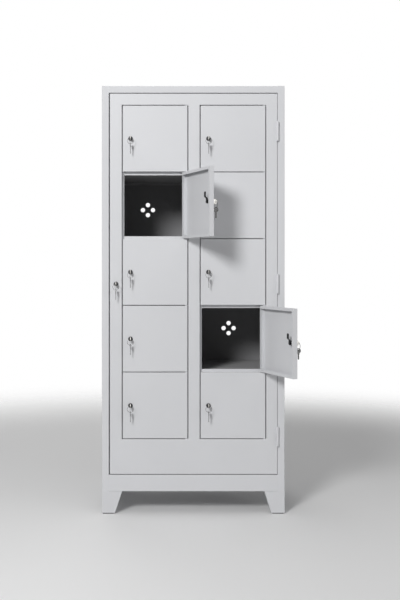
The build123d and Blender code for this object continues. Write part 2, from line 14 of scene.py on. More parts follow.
import bmesh
import bpy
import numpy as np
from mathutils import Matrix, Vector


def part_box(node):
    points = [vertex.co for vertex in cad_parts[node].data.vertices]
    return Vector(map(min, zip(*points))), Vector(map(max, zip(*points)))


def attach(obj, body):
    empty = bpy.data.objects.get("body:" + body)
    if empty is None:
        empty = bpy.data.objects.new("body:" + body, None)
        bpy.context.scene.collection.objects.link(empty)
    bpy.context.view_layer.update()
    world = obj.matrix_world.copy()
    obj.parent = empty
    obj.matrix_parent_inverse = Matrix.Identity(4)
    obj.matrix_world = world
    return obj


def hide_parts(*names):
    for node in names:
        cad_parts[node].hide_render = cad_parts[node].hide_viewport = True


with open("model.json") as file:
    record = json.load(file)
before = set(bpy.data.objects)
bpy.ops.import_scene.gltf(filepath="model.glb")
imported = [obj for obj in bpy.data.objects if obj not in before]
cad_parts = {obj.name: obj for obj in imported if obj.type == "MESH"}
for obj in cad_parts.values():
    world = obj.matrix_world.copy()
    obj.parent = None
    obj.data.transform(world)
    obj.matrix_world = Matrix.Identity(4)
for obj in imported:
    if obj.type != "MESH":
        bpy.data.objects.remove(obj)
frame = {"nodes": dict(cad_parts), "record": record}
NODES = frame["nodes"]
RECORD_JOINTS = {joint["name"]: joint for joint in frame["record"]["behaviour"]["joints"]}
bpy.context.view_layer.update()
print("pieces in the frame:", len(NODES))

# %% [markdown]
# Every later piece needs to know where the sheet metal is. The numbers could be typed
# in from a drawing, but then one change to the cabinet would leave them all behind.
# So they are read from the frame: the body reaches from the one side panel to the
# other, and the open doors, which stand out further, don't count.

# %% Places read from the frame
MM = 0.001
SHEET = 1.2 * MM
HALF_SHEET = SHEET / 2
# A box is two corners: the low one first, then the high one
LOW = 0
HIGH = 1

side_low, side_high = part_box("left_side_panel")
master_low, master_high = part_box("master_door_frame")
BODY_LEFT_X = side_low.x
BODY_RIGHT_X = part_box("right_side_panel")[HIGH].x
FRONT_Y = side_low.y
BACK_Y = side_high.y
BODY_TOP_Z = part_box("top_panel")[HIGH].z
BODY_BOTTOM_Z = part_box("base_panel")[LOW].z
BACK_SHEET_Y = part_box("back_panel")[HIGH].y
MASTER_BOTTOM_Z = master_low.z
MASTER_TOP_Z = master_high.z
HINGE_X = RECORD_JOINTS["master_hinge"]["pos_m"][0]
print("body", round(BODY_RIGHT_X - BODY_LEFT_X, 3), "wide,", round(BACK_Y - FRONT_Y, 3), "deep")

# %% [markdown]
# The camera decides how the whole object is read. Its picture is level and square to
# the doors, but taken from left of the middle, so the object doesn't lie on the lens's
# axis. Turning the camera towards it would make its straight edges converge. A shifted
# lens keeps them parallel instead, and only the open doors, which come forward, spread
# a little. Blender measures the shift in widths of the long side, here 600 pixels.

# %% The camera
IMAGE_WIDTH_PX = 400
IMAGE_HEIGHT_PX = 600
AXIS_PX = (147, 267)
CAMERA_X = -0.200
CAMERA_Z = 1.067
CAMERA_DISTANCE = 3.8
METRES_PER_PX = 0.004324
SENSOR_MM = 36
LEVEL_TURN = math.radians(90)

camera_data = bpy.data.cameras.new("camera")
camera_data.sensor_width = SENSOR_MM
camera_data.lens = CAMERA_DISTANCE / METRES_PER_PX * SENSOR_MM / IMAGE_HEIGHT_PX
camera_data.shift_x = (IMAGE_WIDTH_PX / 2 - AXIS_PX[0]) / IMAGE_HEIGHT_PX
camera_data.shift_y = -(IMAGE_HEIGHT_PX / 2 - AXIS_PX[1]) / IMAGE_HEIGHT_PX
camera = bpy.data.objects.new("camera", camera_data)
camera.location = (CAMERA_X, FRONT_Y - CAMERA_DISTANCE, CAMERA_Z)
camera.rotation_euler = (LEVEL_TURN, 0, 0)
bpy.context.scene.collection.objects.link(camera)
bpy.context.scene.camera = camera
bpy.context.scene.view_settings.view_transform = "Standard"
print("lens", round(camera_data.lens, 2), "mm")
print("shift", round(camera_data.shift_x, 4), round(camera_data.shift_y, 4))

# %% [markdown]
# Finishes are node trees, and a tree written out link by link is hard to follow. Small
# helpers keep each material down to a few lines: one makes a node and sets its plain
# inputs, one links two sockets, one makes a sum or product, one mixes two colours, and
# one starts a material with its shader.

# %% Helpers for node trees
# A Mix node keeps its colour sockets behind those for plain numbers and vectors
MIX_FACTOR = 0
MIX_FIRST_COLOUR = 6
MIX_SECOND_COLOUR = 7
MIX_COLOUR_OUT = 2


def add_node(tree, kind, **inputs):
    """A node of that kind, with the named inputs set. Underscores stand for spaces."""
    node = tree.nodes.new(kind)
    for name, value in inputs.items():
        node.inputs[name.replace("_", " ")].default_value = value
    return node


def join(tree, source, output, target, socket):
    """Link an output to an input, each given by name or by number."""
    tree.links.new(source.outputs[output], target.inputs[socket])


def calculate(tree, operation, first=None, second=None):
    """A Math node: each side is a number, a (node, output) pair, or left for later."""
    node = add_node(tree, "ShaderNodeMath")
    node.operation = operation
    for socket, side in enumerate((first, second)):
        if isinstance(side, tuple):
            join(tree, side[0], side[1], node, socket)
        elif side is not None:
            node.inputs[socket].default_value = side
    return node


def colour_mix(tree):
    """A Mix node for colours: the first at factor 0, the second at factor 1."""
    node = add_node(tree, "ShaderNodeMix")
    node.data_type = "RGBA"
    return node


def new_material(name):
    """An empty node material with its Principled shader and output in place."""
    material = bpy.data.materials.new(name)
    material.use_nodes = True
    tree = material.node_tree
    tree.nodes.clear()
    shader = tree.nodes.new("ShaderNodeBsdfPrincipled")
    output = tree.nodes.new("ShaderNodeOutputMaterial")
    join(tree, shader, "BSDF", output, "Surface")
    return material, tree, shader


print("helpers ready")

# %% [markdown]
# The locker needs ground to stand on, because its feet and the shadow between them say
# how heavy it is. A big plane would end in a horizon line across the picture. This
# floor is a pale disc that keeps the shadow and fades out by distance into a white
# surround. Both are pale only where the camera, a mirror or glass looks at them. For
# the light that they shed they are dimmer, or the folds of the doors and the
# compartments would fill with light from all around.

# %% The floor and the surround
FLOOR_RADIUS = 6.0
FLOOR_CORNERS = 96
FADE_FROM = 1.6
FADE_TO = 4.2
FLOOR_PALE = 0.80
FLOOR_DIM = 0.58
FLOOR_ROUGHNESS = 0.75
SURROUND_DIM = 0.08


def looked_at(tree):
    """1 for rays from the camera, a mirror or glass, and 0 for the light that is shed."""
    ray = add_node(tree, "ShaderNodeLightPath")
    camera_or_mirror = calculate(tree, "ADD", (ray, "Is Camera Ray"), (ray, "Is Glossy Ray"))
    any_of_them = calculate(tree, "ADD", (camera_or_mirror, 0), (ray, "Is Transmission Ray"))
    any_of_them.use_clamp = True
    return any_of_them


floor_mesh = bpy.data.meshes.new("floor")
angles = np.linspace(0, 2 * np.pi, FLOOR_CORNERS, endpoint=False)
floor_rim = FLOOR_RADIUS * np.stack([np.cos(angles), np.sin(angles), 0 * angles], axis=1)
floor_mesh.from_pydata(floor_rim.tolist(), [], [list(range(FLOOR_CORNERS))])
floor = bpy.data.objects.new("floor", floor_mesh)
bpy.context.scene.collection.objects.link(floor)

floor_material, tree, shader = new_material("pale_floor")
shader.inputs["Roughness"].default_value = FLOOR_ROUGHNESS
floor_tone = add_node(tree, "ShaderNodeMapRange", To_Min=FLOOR_DIM, To_Max=FLOOR_PALE)
join(tree, looked_at(tree), 0, floor_tone, "Value")
join(tree, floor_tone, "Result", shader, "Base Color")
place = add_node(tree, "ShaderNodeTexCoord")
distance = add_node(tree, "ShaderNodeVectorMath")
distance.operation = "LENGTH"
fade = add_node(
    tree, "ShaderNodeMapRange", From_Min=FADE_FROM, From_Max=FADE_TO, To_Min=1.0, To_Max=0.0
)
fade.interpolation_type = "SMOOTHERSTEP"
join(tree, place, "Object", distance, 0)
join(tree, distance, "Value", fade, "Value")
join(tree, fade, "Result", shader, "Alpha")
floor_mesh.materials.append(floor_material)

world = bpy.data.worlds.new("surround")
bpy.context.scene.world = world
world.use_nodes = True
tree = world.node_tree
tree.nodes.clear()
strength = add_node(tree, "ShaderNodeMapRange", To_Min=SURROUND_DIM, To_Max=1.0)
surround = add_node(tree, "ShaderNodeBackground", Color=(1, 1, 1, 1))
output = add_node(tree, "ShaderNodeOutputWorld")
join(tree, looked_at(tree), 0, strength, "Value")
join(tree, strength, "Result", surround, "Strength")
join(tree, surround, "Background", output, "Surface")
print("floor fades from", FADE_FROM, "to", FADE_TO, "metres")

# %% [markdown]
# Light gives flat sheet metal its relief: without it the gaps between the doors would
# be the only lines. An even light from all sides would be simple, but the real one is
# lit mainly from one side. That lamp's place is worked out from shadows: the open left
# door throws its shadow 0.53 of its distance to the right and 0.48 down, and the light
# that enters the compartments reaches the lower right of their back walls. One soft
# disc stands there. Three weak squares stand in for a room's light from above, from the
# right and from behind. The first two reach the front at a slant, so little of them
# goes deep into the compartments, and the third only shows the back.

# %% The light
LAMP_PLACE = Vector((-2.02, FRONT_Y - 4.2, 3.08))
LAMP_AIM = Vector((0.0, FRONT_Y, 1.0))
LAMP_SIZE = 1.25
LAMP_POWER = 167.0
CEILING_PLACE = Vector((0.0, -1.0, 4.5))
CEILING_SIZE = 3.5
CEILING_POWER = 52.0
ROOM_PLACE = Vector((3.6, FRONT_Y - 2.2, 1.4))
ROOM_SIZE = 2.6
ROOM_POWER = 26.0
REAR_PLACE = Vector((-1.4, BACK_Y + 4.2, 2.6))
REAR_SIZE = 3.0
REAR_POWER = 50.0


def area_lamp(name, shape, size, power, place, aim):
    """A flat lamp at a place, turned so that it shines at the aim."""
    data = bpy.data.lights.new(name, "AREA")
    data.shape = shape
    data.size = size
    data.energy = power
    lamp = bpy.data.objects.new(name, data)
    lamp.location = place
    lamp.rotation_euler = (place - aim).to_track_quat("Z", "Y").to_euler()
    bpy.context.scene.collection.objects.link(lamp)


area_lamp("window_light", "DISK", LAMP_SIZE, LAMP_POWER, LAMP_PLACE, LAMP_AIM)
ceiling_aim = CEILING_PLACE - Vector((0, 0, 1))
area_lamp("ceiling_light", "SQUARE", CEILING_SIZE, CEILING_POWER, CEILING_PLACE, ceiling_aim)
area_lamp("room_light", "SQUARE", ROOM_SIZE, ROOM_POWER, ROOM_PLACE, LAMP_AIM)
area_lamp("rear_light", "SQUARE", REAR_SIZE, REAR_POWER, REAR_PLACE, LAMP_AIM)
print("window light", round((LAMP_PLACE - LAMP_AIM).length, 2), "metres away")

# %% [markdown]
# Paint, plating and plastic each carry small effects on top of their plain colour, such
# as a grain or a settled film. All of these could be built into one big material, but
# they return on several finishes with other strengths. So each is a node group with its
# own inputs. One helper makes an empty group, and another places it in a material. The
# groups read Object coordinates, which run unbroken from sheet to sheet, because every
# object sits at the origin.

# %% A new node group
SOCKET_KINDS = {
    "value": "NodeSocketFloat",
    "colour": "NodeSocketColor",
    "vector": "NodeSocketVector",
}


def new_group(name, inputs, outputs):
    """A shader node group, with its inputs and outputs given by label and kind."""
    group = bpy.data.node_groups.new(name, "ShaderNodeTree")
    for label, kind in inputs:
        group.interface.new_socket(name=label, in_out="INPUT", socket_type=SOCKET_KINDS[kind])
    for label, kind in outputs:
        group.interface.new_socket(name=label, in_out="OUTPUT", socket_type=SOCKET_KINDS[kind])
    return group, group.nodes.new("NodeGroupInput"), group.nodes.new("NodeGroupOutput")


def place_group(tree, group, **inputs):
    """One use of a group in a material, with its own values."""
    node = tree.nodes.new("ShaderNodeGroup")
    node.node_tree = group
    for name, value in inputs.items():
        node.inputs[name.replace("_", " ")].default_value = value
    return node


print("sockets of kind", ", ".join(SOCKET_KINDS))

# %% [markdown]
# Powder coat melts into a skin with a faint orange peel. Modelled, it would need
# millions of faces, and it is a few thousandths of a millimetre deep. A fine noise in
# the bump is enough: it only has to break up the highlights. The same group with finer
# grain serves for plating and for moulded plastic.

# %% Orange peel
PEEL_DETAIL = 2.0
PEEL_NOISE_ROUGHNESS = 0.45

peel_group, group_in, group_out = new_group(
    "orange_peel", [("Scale", "value"), ("Height", "value")], [("Normal", "vector")]
)
place = add_node(peel_group, "ShaderNodeTexCoord")
peel_noise = add_node(
    peel_group, "ShaderNodeTexNoise", Detail=PEEL_DETAIL, Roughness=PEEL_NOISE_ROUGHNESS
)
peel_bump = add_node(peel_group, "ShaderNodeBump", Distance=1.0 * MM)
join(peel_group, place, "Object", peel_noise, "Vector")
join(peel_group, group_in, "Scale", peel_noise, "Scale")
join(peel_group, peel_noise, "Fac", peel_bump, "Height")
join(peel_group, group_in, "Height", peel_bump, "Strength")
join(peel_group, peel_bump, "Normal", group_out, "Normal")
print("group", peel_group.name)

# %% [markdown]
# No two hand-widths of a coat have quite the same tone, because of its thickness and of
# years of wiping. One flat colour would look like a drawing. A cloudy noise darkens the
# colour by a set share at most. The group hands the noise out as well, so that a helper
# can let the roughness drift with the same clouds.

# %% Mottle
MOTTLE_LOW = 0.3
MOTTLE_HIGH = 0.7
MOTTLE_DETAIL = 4.0
MOTTLE_NOISE_ROUGHNESS = 0.55

mottle_group, group_in, group_out = new_group(
    "mottle",
    [("Colour", "colour"), ("Scale", "value"), ("Amount", "value")],
    [("Colour", "colour"), ("Mask", "value")],
)
place = add_node(mottle_group, "ShaderNodeTexCoord")
mottle_noise = add_node(
    mottle_group, "ShaderNodeTexNoise", Detail=MOTTLE_DETAIL, Roughness=MOTTLE_NOISE_ROUGHNESS
)
darkest = calculate(mottle_group, "SUBTRACT", 1.0, (group_in, "Amount"))
shade = add_node(
    mottle_group, "ShaderNodeMapRange", From_Min=MOTTLE_LOW, From_Max=MOTTLE_HIGH, To_Max=1.0
)
tint = add_node(mottle_group, "ShaderNodeVectorMath")
tint.operation = "SCALE"
join(mottle_group, place, "Object", mottle_noise, "Vector")
join(mottle_group, group_in, "Scale", mottle_noise, "Scale")
join(mottle_group, mottle_noise, "Fac", shade, "Value")
join(mottle_group, darkest, 0, shade, "To Min")
join(mottle_group, group_in, "Colour", tint, 0)
join(mottle_group, shade, "Result", tint, "Scale")
join(mottle_group, tint, "Vector", group_out, "Colour")
join(mottle_group, mottle_noise, "Fac", group_out, "Mask")


def rough_with_mottle(tree, mottle, roughness, shader):
    """Let the roughness go from the first to the second of two values with the mottle."""
    drift = add_node(
        tree,
        "ShaderNodeMapRange",
        From_Min=MOTTLE_LOW,
        From_Max=MOTTLE_HIGH,
        To_Min=roughness[0],
        To_Max=roughness[1],
    )
    join(tree, mottle, "Mask", drift, "Value")
    join(tree, drift, "Result", shader, "Roughness")


print("group", mottle_group.name)

# %% [markdown]
# Dust settles on whatever faces up: the top of the locker, the shelf floors, the upper
# edges of the doors. It could be painted on each, but the normal already tells which
# faces look up. The group mixes a dust colour in there, in patches, and hands out how
# far a face looks up. The coat of the shelves needs that again, to keep painted light
# on their floors and to put painted shade beneath.

# %% Dust on what faces up
STEEPEST_DUSTY = 0.6
FLAT_ENOUGH = 0.9
DUST_DETAIL = 5.0
DUST_NOISE_ROUGHNESS = 0.65

dust_group, group_in, group_out = new_group(
    "settled_dust",
    [("Colour", "colour"), ("Dust Colour", "colour"), ("Scale", "value"), ("Amount", "value")],
    [("Colour", "colour"), ("Up", "value")],
)
place = add_node(dust_group, "ShaderNodeTexCoord")
split_normal = add_node(dust_group, "ShaderNodeSeparateXYZ")
facing_up = add_node(
    dust_group, "ShaderNodeMapRange", From_Min=STEEPEST_DUSTY, From_Max=FLAT_ENOUGH
)
dust_noise = add_node(
    dust_group, "ShaderNodeTexNoise", Detail=DUST_DETAIL, Roughness=DUST_NOISE_ROUGHNESS
)
on_top = calculate(dust_group, "MULTIPLY", (facing_up, "Result"), (dust_noise, "Fac"))
dust_amount = calculate(dust_group, "MULTIPLY", (on_top, 0), (group_in, "Amount"))
dusted = colour_mix(dust_group)
join(dust_group, place, "Normal", split_normal, 0)
join(dust_group, split_normal, "Z", facing_up, "Value")
join(dust_group, place, "Object", dust_noise, "Vector")
join(dust_group, group_in, "Scale", dust_noise, "Scale")
join(dust_group, dust_amount, 0, dusted, MIX_FACTOR)
join(dust_group, group_in, "Colour", dusted, MIX_FIRST_COLOUR)
join(dust_group, group_in, "Dust Colour", dusted, MIX_SECOND_COLOUR)
join(dust_group, dusted, MIX_COLOUR_OUT, group_out, "Colour")
join(dust_group, facing_up, "Result", group_out, "Up")
print("group", dust_group.name)

# %% [markdown]
# Inside, the compartments look almost black beside the doors. That is painted shade:
# the body has a darker grey within, and only its floors are as light as the outside.
# The painted shade and the outer coat meet on single sheets, so a material per sheet
# can't tell them apart. A mask can: it is 1 wherever a point lies in a box that ends
# halfway through the sheet.

# %% Inside of a box
inside_group, group_in, group_out = new_group(
    "inside_of_box", [("Low", "vector"), ("High", "vector")], [("Mask", "value")]
)
place = add_node(inside_group, "ShaderNodeTexCoord")
above_low = add_node(inside_group, "ShaderNodeVectorMath")
above_low.operation = "SUBTRACT"
below_high = add_node(inside_group, "ShaderNodeVectorMath")
below_high.operation = "SUBTRACT"
nearest = add_node(inside_group, "ShaderNodeVectorMath")
nearest.operation = "MINIMUM"
depth = add_node(inside_group, "ShaderNodeSeparateXYZ")
join(inside_group, place, "Object", above_low, 0)
join(inside_group, group_in, "Low", above_low, 1)
join(inside_group, group_in, "High", below_high, 0)
join(inside_group, place, "Object", below_high, 1)
join(inside_group, above_low, 0, nearest, 0)
join(inside_group, below_high, 0, nearest, 1)
join(inside_group, nearest, 0, depth, 0)
depth_xy = calculate(inside_group, "MINIMUM", (depth, "X"), (depth, "Y"))
depth_xyz = calculate(inside_group, "MINIMUM", (depth_xy, 0), (depth, "Z"))
is_inside = calculate(inside_group, "GREATER_THAN", (depth_xyz, 0), 0.0)
join(inside_group, is_inside, 0, group_out, "Mask")
print("group", inside_group.name)

# %% [markdown]
# The back sheet is held to the rear lips by spot welds, each a shallow dish as wide as
# the electrode. Cut into the lips, thirty dishes would cost thousands of faces, and
# they are a fifth of a millimetre deep, so here a bump is enough. The pattern repeats
# up the lip: the distance to the nearest weld comes from a height that goes to and fro.

# %% Spot welds down the rear lips
SPOT_SPACING = 110.0 * MM
SPOT_RADIUS = 3.2 * MM
SPOT_FROM_EDGE = 7.5 * MM
FLAT_SHARE_OF_SPOT = 0.7

spot_group, group_in, group_out = new_group(
    "spot_welds",
    [("Line X", "value"), ("Spacing", "value"), ("Radius", "value")],
    [("Height", "value")],
)
place = add_node(spot_group, "ShaderNodeTexCoord")
at = add_node(spot_group, "ShaderNodeSeparateXYZ")
join(spot_group, place, "Object", at, 0)
from_middle = calculate(spot_group, "ABSOLUTE", (at, "X"))
aside = calculate(spot_group, "SUBTRACT", (from_middle, 0), (group_in, "Line X"))
half_spacing = calculate(spot_group, "MULTIPLY", (group_in, "Spacing"), 0.5)
along = calculate(spot_group, "PINGPONG", (at, "Z"), (half_spacing, 0))
spot_offset = add_node(spot_group, "ShaderNodeCombineXYZ")
join(spot_group, aside, 0, spot_offset, "X")
join(spot_group, along, 0, spot_offset, "Y")
spot_distance = add_node(spot_group, "ShaderNodeVectorMath")
spot_distance.operation = "LENGTH"
join(spot_group, spot_offset, 0, spot_distance, 0)
inner_radius = calculate(spot_group, "MULTIPLY", (group_in, "Radius"), FLAT_SHARE_OF_SPOT)
dish = add_node(spot_group, "ShaderNodeMapRange")
dish.interpolation_type = "SMOOTHSTEP"
join(spot_group, spot_distance, "Value", dish, "Value")
join(spot_group, inner_radius, 0, dish, "From Min")
join(spot_group, group_in, "Radius", dish, "From Max")
before_the_back = calculate(spot_group, "LESS_THAN", (at, "Y"), BACK_Y - HALF_SHEET)
height = calculate(spot_group, "MAXIMUM", (dish, "Result"), (before_the_back, 0))
join(spot_group, height, 0, group_out, "Height")
print("group", spot_group.name)

# %% [markdown]
# The paint is a light grey with a touch of blue, satin rather than glossy. Its
# roughness drifts a little with the mottle, and the peel breaks up the highlight. A
# material per sheet would repeat all of that. One function makes the plain coat and the
# coats with painted shade inside, because they should age alike. A glossy coat in the
# compartments would mirror the white surround, so the coats with painted shade have
# next to no gloss. The body's colour is a little lighter than the doors: a painted sheen
# that makes up for that lost gloss where it shows outside.

# %% Painted sheet
PAINT_COLOUR = (0.700, 0.706, 0.726, 1)
# Painted sheen: the body is lighter than the doors to stand in for the gloss it lacks
BODY_COLOUR_WITH_PAINTED_SHEEN = (0.726, 0.732, 0.752, 1)
# Painted shade: the darker grey inside the body stands in for the deep shade of the compartments
INNER_PAINTED_SHADE = (0.33, 0.33, 0.338, 1)
# Painted light: the shelf floors are lighter than the outside coat, so that they read as lit
SHELF_COLOUR_WITH_PAINTED_LIGHT = (0.84, 0.845, 0.86, 1)
# Painted shade: near black on the shelf faces inside their box that don't look up
UNDER_SHELF_PAINTED_SHADE = (0.07, 0.07, 0.072, 1)
DUST_COLOUR = (0.50, 0.48, 0.44, 1)
PEEL_SCALE = 900.0
PEEL_HEIGHT = 0.10
PAINT_MOTTLE_SCALE = 3.0
PAINT_MOTTLE_AMOUNT = 0.035
PAINT_ROUGH = (0.42, 0.52)
INNER_SPECULAR = 0.05
DUST_SCALE = 14.0
DUST_AMOUNT = 0.22
SPOT_DEPTH = 0.2 * MM


def painted_steel(name, colour, inner_box=None, painted_shade_colour=INNER_PAINTED_SHADE, painted_light_floors=False):
    """Powder coat on sheet. Inside the inner box its colour is a darker painted shade, and
    when the floors are lit, the faces there that look up keep the first colour as painted light."""
    material, tree, shader = new_material(name)
    mottle = place_group(
        tree, mottle_group, Colour=colour, Scale=PAINT_MOTTLE_SCALE, Amount=PAINT_MOTTLE_AMOUNT
    )
    dust = place_group(
        tree, dust_group, Dust_Colour=DUST_COLOUR, Scale=DUST_SCALE, Amount=DUST_AMOUNT
    )
    peel = place_group(tree, peel_group, Scale=PEEL_SCALE, Height=PEEL_HEIGHT)
    rough_with_mottle(tree, mottle, PAINT_ROUGH, shader)
    join(tree, dust, "Colour", shader, "Base Color")
    if inner_box is None:
        join(tree, mottle, "Colour", dust, "Colour")
        join(tree, peel, "Normal", shader, "Normal")
        return material
    shader.inputs["Specular IOR Level"].default_value = INNER_SPECULAR
    inside = place_group(tree, inside_group, Low=inner_box[0], High=inner_box[1])
    # Inside the box the coat gives way to painted shade
    coat = colour_mix(tree)
    coat.inputs[MIX_SECOND_COLOUR].default_value = painted_shade_colour
    join(tree, mottle, "Colour", coat, MIX_FIRST_COLOUR)
    join(tree, coat, MIX_COLOUR_OUT, dust, "Colour")
    # Faces that look up keep the light colour as painted light, and the rest takes painted shade
    if painted_light_floors:
        not_up = calculate(tree, "SUBTRACT", 1.0, (dust, "Up"))
        dark = calculate(tree, "MULTIPLY", (inside, "Mask"), (not_up, 0))
        join(tree, dark, 0, coat, MIX_FACTOR)
        join(tree, peel, "Normal", shader, "Normal")
        return material
    join(tree, inside, "Mask", coat, MIX_FACTOR)
    spots = place_group(
        tree,
        spot_group,
        Line_X=BODY_RIGHT_X - SPOT_FROM_EDGE,
        Spacing=SPOT_SPACING,
        Radius=SPOT_RADIUS,
    )
    press = add_node(tree, "ShaderNodeBump", Distance=SPOT_DEPTH)
    join(tree, spots, "Height", press, "Height")
    join(tree, peel, "Normal", press, "Normal")
    join(tree, press, "Normal", shader, "Normal")
    return material


print("paint roughness", PAINT_ROUGH)

# %% [markdown]
# Where does the painted shade start? It could start at the edge of each sheet, but then
# the outside would show a dark rim. At the sides, the top and the bottom it starts
# halfway through the body's sheet, at the back halfway through the back sheet, and at
# the front halfway through the stop strips that the master door shuts on. On the
# shelves it starts halfway through their front lips.

# %% The coats
STOP_DEPTH = 26.5 * MM
SHELF_FRONT_DEPTH = 28.5 * MM
INNER_LOW = (
    BODY_LEFT_X + HALF_SHEET,
    FRONT_Y + STOP_DEPTH + HALF_SHEET,
    BODY_BOTTOM_Z + HALF_SHEET,
)
INNER_HIGH = (BODY_RIGHT_X - HALF_SHEET, BACK_SHEET_Y - HALF_SHEET, BODY_TOP_Z - HALF_SHEET)
SHELF_LOW = (BODY_LEFT_X, FRONT_Y + SHELF_FRONT_DEPTH + HALF_SHEET, BODY_BOTTOM_Z)
SHELF_HIGH = (BODY_RIGHT_X, BACK_Y, BODY_TOP_Z)

paint = painted_steel("light_grey_powder_coat", PAINT_COLOUR)
# The body coat carries painted shade on its inner faces
body_paint_with_painted_shade = painted_steel("body_coat_with_painted_inner_shade", BODY_COLOUR_WITH_PAINTED_SHEEN, inner_box=(INNER_LOW, INNER_HIGH))
shelf_paint_with_painted_light_and_shade = painted_steel(
    "shelf_coat_with_painted_light_and_shade",
    SHELF_COLOUR_WITH_PAINTED_LIGHT,
    inner_box=(SHELF_LOW, SHELF_HIGH),
    painted_shade_colour=UNDER_SHELF_PAINTED_SHADE,
    painted_light_floors=True,
)
print("coats:", paint.name, body_paint_with_painted_shade.name, shelf_paint_with_painted_light_and_shade.name)

# %% [markdown]
# Lock heads, cams and keys are nickel plate on brass or zinc. Beside the pale doors
# most of them look almost black, because polished metal shows the dim room and not the
# paint. A bright metal would need that dark room around it. A metallic shader with a
# darkened colour gives the same look in any light: the dark colour is a painted
# reflection of the dim room. Only the bows of the keys in the locks catch the light, so
# they keep a bright nickel. The wear is in the roughness: fine cloudy patches, as
# pockets and fingers leave.

# %% Nickel
# Painted reflection: lock and key colours are darkened to show a dim room
LOCK_COLOUR_PAINTED_DIM_REFLECTION = (0.07, 0.07, 0.073, 1)
KEY_COLOUR_PAINTED_DIM_REFLECTION = (0.09, 0.09, 0.09, 1)
BOW_COLOUR = (0.62, 0.61, 0.58, 1)
LOCK_ROUGH = (0.26, 0.36)
KEY_ROUGH = (0.18, 0.34)
BOW_ROUGH = (0.22, 0.38)
LOCK_MOTTLE_SCALE = 180.0
KEY_MOTTLE_SCALE = 260.0
NICKEL_MOTTLE_AMOUNT = 0.12
NICKEL_GRAIN_SCALE = 2500.0
NICKEL_GRAIN_HEIGHT = 0.04


def nickel(name, colour, roughness, mottle_scale):
    """Polished plating with a fine wear pattern in its roughness."""
    material, tree, shader = new_material(name)
    shader.inputs["Metallic"].default_value = 1.0
    mottle = place_group(
        tree, mottle_group, Colour=colour, Scale=mottle_scale, Amount=NICKEL_MOTTLE_AMOUNT
    )
    grain = place_group(tree, peel_group, Scale=NICKEL_GRAIN_SCALE, Height=NICKEL_GRAIN_HEIGHT)
    join(tree, mottle, "Colour", shader, "Base Color")
    rough_with_mottle(tree, mottle, roughness, shader)
    join(tree, grain, "Normal", shader, "Normal")
    return material


lock_nickel_painted_dim_reflection = nickel("lock_nickel_painted_dim_reflection", LOCK_COLOUR_PAINTED_DIM_REFLECTION, LOCK_ROUGH, LOCK_MOTTLE_SCALE)
key_nickel_painted_dim_reflection = nickel("key_nickel_painted_dim_reflection", KEY_COLOUR_PAINTED_DIM_REFLECTION, KEY_ROUGH, KEY_MOTTLE_SCALE)
bow_nickel = nickel("bright_key_nickel", BOW_COLOUR, BOW_ROUGH, KEY_MOTTLE_SCALE)
print("metals:", lock_nickel_painted_dim_reflection.name, key_nickel_painted_dim_reflection.name, bow_nickel.name)

# %% [markdown]
# The feet stand on glides of black moulded plastic, which spare the floor. Only their
# edges show, so a material with scratches and scuffs would be lost on them. A dark,
# matt shader with a fine moulded grain in its bump is all they need, and the mottle
# keeps it from being one flat black.

# %% Plastic
GLIDE_COLOUR = (0.022, 0.022, 0.023, 1)
GLIDE_ROUGHNESS = 0.55
GLIDE_MOTTLE_SCALE = 60.0
GLIDE_MOTTLE_AMOUNT = 0.25
GLIDE_GRAIN_SCALE = 1800.0
GLIDE_GRAIN_HEIGHT = 0.25

glide_plastic, tree, shader = new_material("glide_plastic")
mottle = place_group(
    tree, mottle_group, Colour=GLIDE_COLOUR, Scale=GLIDE_MOTTLE_SCALE, Amount=GLIDE_MOTTLE_AMOUNT
)
grain = place_group(tree, peel_group, Scale=GLIDE_GRAIN_SCALE, Height=GLIDE_GRAIN_HEIGHT)
shader.inputs["Roughness"].default_value = GLIDE_ROUGHNESS
join(tree, mottle, "Colour", shader, "Base Color")
join(tree, grain, "Normal", shader, "Normal")
print("plastic:", glide_plastic.name)

# %% [markdown]
# Every solid of the frame takes one of these finishes, chosen by what it is: sheet,
# shelf, metal fitting or glide. A list of 58 names would do, but the names already say
# it, so a few tests of the name decide, and a new door would be dressed as well.

# %% Dress the frame
BODY_SHEETS = (
    "left_side_panel",
    "right_side_panel",
    "back_panel",
    "top_panel",
    "base_panel",
    "centre_partition",
)


def finish_of(name):
    """The material of a node of the frame, by the kind of piece that its name says."""
    # Locks and rings take darkened nickel, a painted reflection; body sheets and shelves carry
    # painted shade inside
    if "key_ring" in name:
        return key_nickel_painted_dim_reflection
    if "lock_" in name:
        return lock_nickel_painted_dim_reflection
    if name == "foot_glides":
        return glide_plastic
    if name in BODY_SHEETS:
        return body_paint_with_painted_shade
    if name.endswith("shelves"):
        return shelf_paint_with_painted_light_and_shade
    return paint


for name, node in NODES.items():
    node.data.materials.clear()
    node.data.materials.append(finish_of(name))
print("dressed", len(NODES), "nodes")

# %% [markdown]
# The pieces that follow are all profiles carried along a path: a weld bead is a
# circle carried along a seam, a key's blade is its cross-section carried to the tip.
# Each could be built from its own primitives. Instead, one function turns rows of
# points into quads, and one makes the object. Points are worked out as whole arrays,
# which is both shorter and faster than a loop.

# %% Surfaces from rows of points
SHARP_ANGLE = math.radians(38)
SAME_POINT = 1e-7


